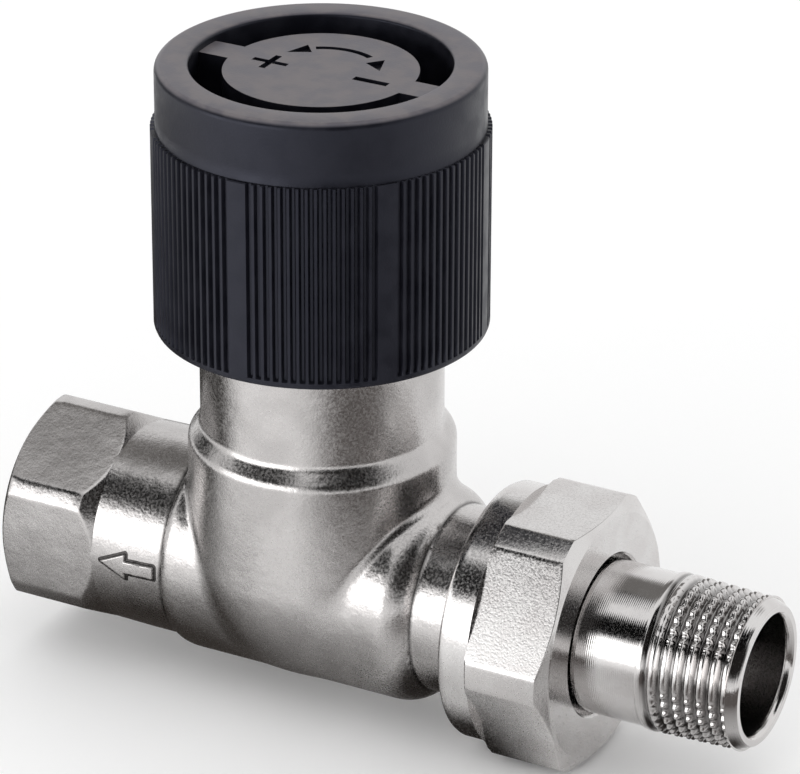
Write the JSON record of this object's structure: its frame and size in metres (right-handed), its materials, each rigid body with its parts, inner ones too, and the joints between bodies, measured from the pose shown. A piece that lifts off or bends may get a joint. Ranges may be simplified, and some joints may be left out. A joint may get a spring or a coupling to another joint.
{
  "type": "return temperature limiting valve",
  "caption": "Straight radiator return valve: nickel-plated globe body, female hexagon port, union nut with male tailpiece, and a black ribbed cap that closes the spindle.",
  "frame": {"origin": "centre of the mouth of the female port, on the pipe axis", "axes": "+X along the pipe axis from the female port to the tailpiece, +Z along the spindle towards the cap, +Y completes the right-handed frame"},
  "size_m": [0.0856, 0.035, 0.0714],
  "materials": {
    "nickel_forging": "forged, blasted and nickel-plated",
    "nickel_turned": "turned and nickel-plated",
    "black_cap": "moulded, matte black",
    "brass_turned": "turned",
    "stainless": "ground",
    "seal_rubber": "moulded"
  },
  "bodies": {
    "valve_body": {"valve_body": "nickel_forging", "bonnet": "brass_turned", "bonnet_seal_ring": "seal_rubber", "guide_bush": "brass_turned", "gland_washer": "brass_turned", "gland_oring": "seal_rubber", "gland_seal_ring": "seal_rubber", "gland_screw": "brass_turned", "return_spring": "stainless"},
    "spindle": {"spindle": "stainless", "actuating_pin": "stainless", "spring_collar": "brass_turned", "spring_circlip": "stainless", "disc_carrier": "brass_turned", "valve_disc": "seal_rubber", "disc_washer": "brass_turned", "disc_nut": "brass_turned"},
    "cap": {"protective_cap": "black_cap"},
    "tail": {"tailpiece": "nickel_turned"},
    "nut": {"union_nut": "nickel_forging"}
  },
  "joints": [
    {"name": "spindle_slide", "type": "slide", "parent": "valve_body", "child": "spindle", "axis": [0, 0, 1], "range_m": [-0.0023, 0], "deforming": ["return_spring"]},
    {"name": "cap_turn", "type": "hinge", "parent": "spindle", "child": "cap", "pos_m": [0.0336, 0, 0.05], "axis": [0, 0, 1], "range_deg": [-552, 0]},
    {"name": "tail_slide", "type": "slide", "parent": "valve_body", "child": "tail", "axis": [1, 0, 0], "range_m": [0, 0.008]},
    {"name": "nut_turn", "type": "hinge", "parent": "tail", "child": "nut", "pos_m": [0.06, 0, 0], "axis": [1, 0, 0], "range_deg": [0, 1584]}
  ],
  "couplings": [
    {"joint": "spindle_slide", "follows": "cap_turn", "m_per_rad": 0.00023873},
    {"joint": "tail_slide", "follows": "nut_turn", "m_per_rad": 0.0002887}
  ]
}
